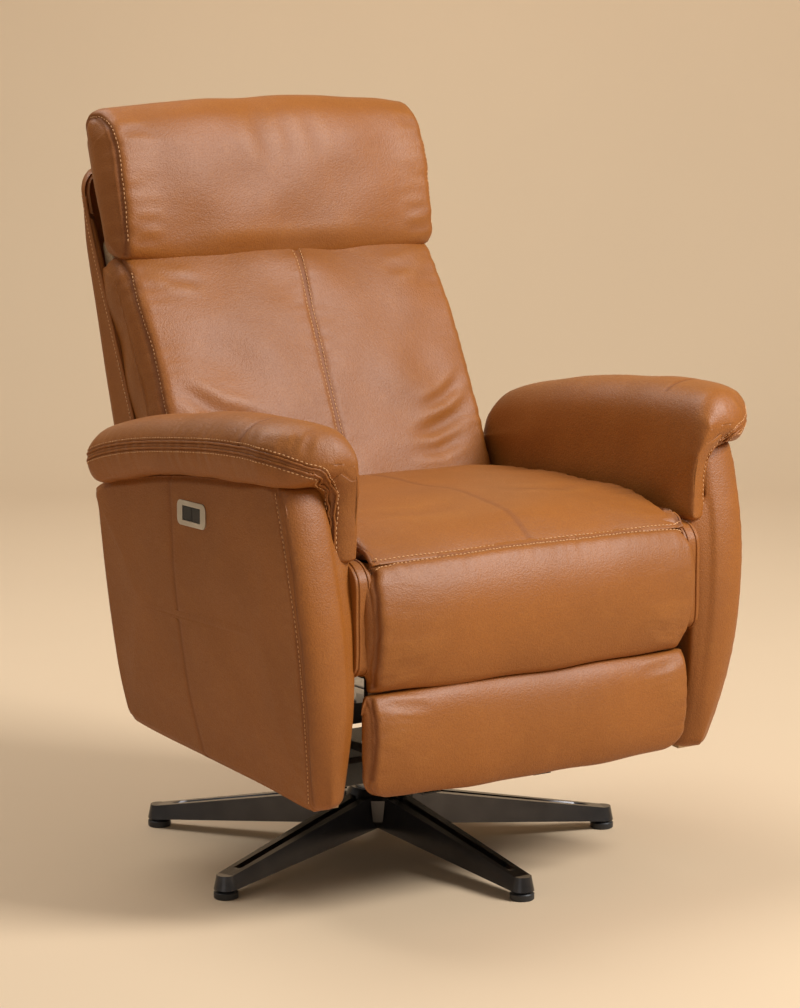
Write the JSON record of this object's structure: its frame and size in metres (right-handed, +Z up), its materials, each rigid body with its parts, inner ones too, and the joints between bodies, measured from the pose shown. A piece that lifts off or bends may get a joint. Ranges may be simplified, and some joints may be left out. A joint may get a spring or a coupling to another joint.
{
  "type": "star base swivel recliner",
  "caption": "Leather power recliner on a swivelling star base, with a footrest coupled to the reclining back, a tilting head cushion and a side switch.",
  "frame": {"origin": "the swivel axis on the floor", "axes": "+X to the sitter's left, -Y to the front of the chair, +Z up"},
  "size_m": [0.816, 0.7812, 1.0644],
  "materials": {
    "gunmetal": "satin dark metallic",
    "glide_plastic": "matt",
    "steel": "zinc plated",
    "black_steel": "satin black",
    "nylon": "matt",
    "nylon_black": "matt",
    "plywood": "raw",
    "webbing": "woven",
    "foam_leather": "leather over foam, weighed as a light soft material",
    "padded_leather": "leather",
    "panel_leather": "leather over board",
    "aluminium": "drawn",
    "black_plastic": "matt",
    "nickel": "brushed nickel"
  },
  "bodies": {
    "base": {"star_base": "gunmetal", "glide_feet": "glide_plastic", "swivel_column": "steel", "thrust_washer": "nylon", "retaining_ring": "steel"},
    "seat": {"swivel_plate": "black_steel", "base_rails": "black_steel", "cross_tubes": "black_steel", "side_frame_left": "black_steel", "side_frame_right": "black_steel", "torque_bushes": "nylon", "back_pivot_bolts": "steel", "footrest_pivot_bolts": "steel", "seat_frame": "plywood", "seat_webbing": "webbing", "seat_cushion": "foam_leather", "seat_cheek_left": "padded_leather", "seat_cheek_right": "padded_leather", "arm_frame_left": "plywood", "arm_frame_right": "plywood", "outer_panel_left": "panel_leather", "outer_panel_right": "panel_leather", "arm_facing_left": "foam_leather", "arm_facing_right": "foam_leather", "arm_pad_left": "foam_leather", "arm_pad_right": "foam_leather", "drive_rail": "aluminium", "motor_unit": "black_plastic", "power_inlet": "black_plastic", "switch_bezel": "nickel", "switch_body": "black_plastic"},
    "drive": {"drive_carriage": "nylon_black"},
    "torque": {"torque_tube": "black_steel"},
    "link_left": {"link_bar_left": "black_steel"},
    "link_right": {"link_bar_right": "black_steel"},
    "footrest": {"swing_arm_left": "black_steel", "swing_arm_right": "black_steel", "footrest_board": "plywood", "footrest_pad": "foam_leather"},
    "back": {"back_bracket_left": "black_steel", "back_bracket_right": "black_steel", "back_drive_tube": "steel", "back_frame": "plywood", "back_webbing": "webbing", "back_cushion": "foam_leather", "back_shell": "panel_leather", "headrest_hinge_left": "black_steel", "headrest_hinge_right": "black_steel"},
    "headrest": {"headrest_frame": "black_steel", "headrest_board": "plywood", "head_cushion": "foam_leather"},
    "button_open": {"button_open": "black_plastic"},
    "button_close": {"button_close": "black_plastic"}
  },
  "joints": [
    {"name": "seat_swivel", "type": "hinge", "parent": "base", "child": "seat", "pos_m": [0, 0, 0.12], "axis": [0, 0, 1], "continuous": true},
    {"name": "back_recline", "type": "hinge", "parent": "seat", "child": "back", "pos_m": [0, 0.085, 0.36], "axis": [-1, 0, 0], "range_deg": [0, 38]},
    {"name": "drive_slide", "type": "slide", "parent": "seat", "child": "drive", "axis": [0, -1, 0], "range_m": [0, 0.0608]},
    {"name": "torque_turn", "type": "hinge", "parent": "seat", "child": "torque", "pos_m": [0, -0.1, 0.31011], "axis": [-1, 0, 0], "range_deg": [0, 85]},
    {"name": "link_left_turn", "type": "hinge", "parent": "torque", "child": "link_left", "pos_m": [0.226, -0.07948, 0.25373], "axis": [1, 0, 0], "range_deg": [0, 85]},
    {"name": "link_right_turn", "type": "hinge", "parent": "torque", "child": "link_right", "pos_m": [-0.226, -0.07948, 0.25373], "axis": [1, 0, 0], "range_deg": [0, 85]},
    {"name": "footrest_lift", "type": "hinge", "parent": "seat", "child": "footrest", "pos_m": [0, -0.335, 0.465], "axis": [-1, 0, 0], "range_deg": [0, 85]},
    {"name": "headrest_tilt", "type": "hinge", "parent": "back", "child": "headrest", "pos_m": [0, 0.28992, 0.848], "axis": [1, 0, 0], "range_deg": [0, 25]},
    {"name": "press_open", "type": "slide", "parent": "seat", "child": "button_open", "axis": [1, 0, 0], "range_m": [0, 0.0015], "stiffness_N_per_m": 300},
    {"name": "press_close", "type": "slide", "parent": "seat", "child": "button_close", "axis": [1, 0, 0], "range_m": [0, 0.0015], "stiffness_N_per_m": 300}
  ],
  "couplings": [
    {"joint": "drive_slide", "follows": "back_recline", "m_per_rad": 0.09167},
    {"joint": "torque_turn", "follows": "back_recline", "ratio": 2.2368},
    {"joint": "link_left_turn", "follows": "back_recline", "ratio": 2.2368},
    {"joint": "link_right_turn", "follows": "back_recline", "ratio": 2.2368},
    {"joint": "footrest_lift", "follows": "back_recline", "ratio": 2.2368}
  ]
}
